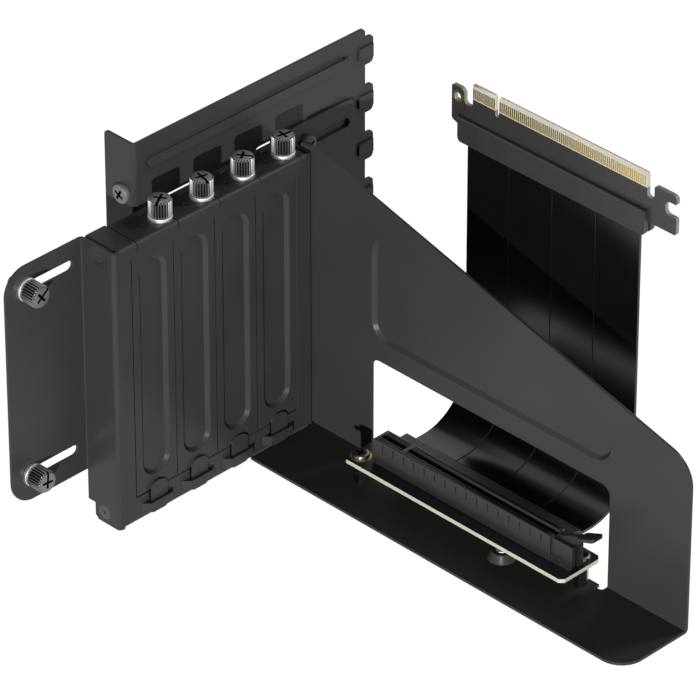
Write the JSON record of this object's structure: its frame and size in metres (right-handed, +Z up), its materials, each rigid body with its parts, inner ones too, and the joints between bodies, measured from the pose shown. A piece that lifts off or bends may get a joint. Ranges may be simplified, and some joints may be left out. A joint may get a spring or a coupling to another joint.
{
  "type": "vertical gpu bracket",
  "caption": "Folded steel bracket that holds a graphics card upright, with blanked card slots, thumb screws, a sliding rear plate and a flat riser cable from socket to plug.",
  "frame": {"origin": "centre of the outline on the face that the bracket stands on", "axes": "+X from the slot panel along the card, +Y from the free side towards the mainboard, +Z up"},
  "size_m": [0.2198, 0.1836, 0.1531],
  "materials": {
    "black_steel": "satin black powder coat, finely textured",
    "cover_steel": "satin black powder coat, finely textured",
    "thumb_screws": "turned and knurled, plated",
    "washers": "turned, plated, bright",
    "dark_screws": "black plated, satin",
    "board_screws": "plated, satin",
    "posts": "turned, plated",
    "board": "black solder mask over glass laminate, ivory cut edges",
    "gilt_contacts": "gold plated, satin",
    "socket_plastic": "moulded, matt black",
    "latch_plastic": "moulded, matt black",
    "cover_plastic": "moulded, matt black",
    "ribbon": "smooth glossy black sleeve"
  },
  "bodies": {
    "bracket": {"slot_panel": "black_steel", "side_panel": "black_steel", "riser_board": "board", "card_socket": "socket_plastic", "root_cover_upper": "cover_plastic", "root_cover_lower": "cover_plastic", "plug_board": "board", "plug_fingers": "gilt_contacts", "plug_cover_front": "cover_plastic", "plug_cover_back": "cover_plastic", "post_left": "posts", "post_right": "posts", "board_screw_left": "board_screws", "board_screw_right": "board_screws", "side_screws_left": "dark_screws", "side_screws_right": "dark_screws", "slot_cover_1": "cover_steel", "slot_cover_2": "cover_steel", "slot_cover_3": "cover_steel", "slot_cover_4": "cover_steel", "cover_washer_1": "washers", "cover_washer_2": "washers", "cover_washer_3": "washers", "cover_washer_4": "washers", "ribbon_strip_1": "ribbon", "ribbon_strip_2": "ribbon", "ribbon_strip_3": "ribbon", "ribbon_strip_4": "ribbon"},
    "rear_plate": {"back_plate": "black_steel", "case_screw_upper": "dark_screws", "case_screw_lower": "dark_screws"},
    "latch": {"socket_latch": "latch_plastic"},
    "cover_screw_1": {"cover_screw_1": "thumb_screws"},
    "cover_screw_2": {"cover_screw_2": "thumb_screws"},
    "cover_screw_3": {"cover_screw_3": "thumb_screws"},
    "cover_screw_4": {"cover_screw_4": "thumb_screws"},
    "plate_screw_upper": {"plate_screw_upper": "dark_screws"},
    "flange_washer_upper": {"flange_washer_upper": "washers"},
    "flange_screw_upper": {"flange_screw_upper": "thumb_screws"},
    "plate_screw_lower": {"plate_screw_lower": "dark_screws"},
    "flange_washer_lower": {"flange_washer_lower": "washers"},
    "flange_screw_lower": {"flange_screw_lower": "thumb_screws"}
  },
  "joints": [
    {"name": "rear_plate_slide", "type": "slide", "parent": "bracket", "child": "rear_plate", "axis": [0, 1, 0], "range_m": [0, 0.0203]},
    {"name": "latch_pivot", "type": "hinge", "parent": "bracket", "child": "latch", "pos_m": [0.0623, 0.0315, 0.0156], "axis": [0, 1, 0], "range_deg": [0, 25]},
    {"name": "cover_screw_1_turn", "type": "hinge", "parent": "bracket", "child": "cover_screw_1", "pos_m": [-0.0834, -0.02667, 0.12], "axis": [0, 0, 1], "continuous": true},
    {"name": "cover_screw_2_turn", "type": "hinge", "parent": "bracket", "child": "cover_screw_2", "pos_m": [-0.0834, -0.00635, 0.12], "axis": [0, 0, 1], "continuous": true},
    {"name": "cover_screw_3_turn", "type": "hinge", "parent": "bracket", "child": "cover_screw_3", "pos_m": [-0.0834, 0.01397, 0.12], "axis": [0, 0, 1], "continuous": true},
    {"name": "cover_screw_4_turn", "type": "hinge", "parent": "bracket", "child": "cover_screw_4", "pos_m": [-0.0834, 0.03429, 0.12], "axis": [0, 0, 1], "continuous": true},
    {"name": "plate_screw_upper_turn", "type": "hinge", "parent": "rear_plate", "child": "plate_screw_upper", "pos_m": [-0.0935, 0.05575, 0.1092], "axis": [1, 0, 0], "continuous": true},
    {"name": "flange_washer_upper_slide", "type": "slide", "parent": "bracket", "child": "flange_washer_upper", "axis": [0, 1, 0], "range_m": [0, 0.0203]},
    {"name": "flange_screw_upper_turn", "type": "hinge", "parent": "flange_washer_upper", "child": "flange_screw_upper", "pos_m": [-0.0935, -0.08235, 0.1092], "axis": [1, 0, 0], "continuous": true},
    {"name": "plate_screw_lower_turn", "type": "hinge", "parent": "rear_plate", "child": "plate_screw_lower", "pos_m": [-0.0935, 0.05575, 0.0306], "axis": [1, 0, 0], "continuous": true},
    {"name": "flange_washer_lower_slide", "type": "slide", "parent": "bracket", "child": "flange_washer_lower", "axis": [0, 1, 0], "range_m": [0, 0.0203]},
    {"name": "flange_screw_lower_turn", "type": "hinge", "parent": "flange_washer_lower", "child": "flange_screw_lower", "pos_m": [-0.0935, -0.08235, 0.0306], "axis": [1, 0, 0], "continuous": true}
  ],
  "couplings": [
    {"joint": "flange_washer_upper_slide", "follows": "rear_plate_slide", "ratio": 1},
    {"joint": "flange_washer_lower_slide", "follows": "rear_plate_slide", "ratio": 1}
  ]
}
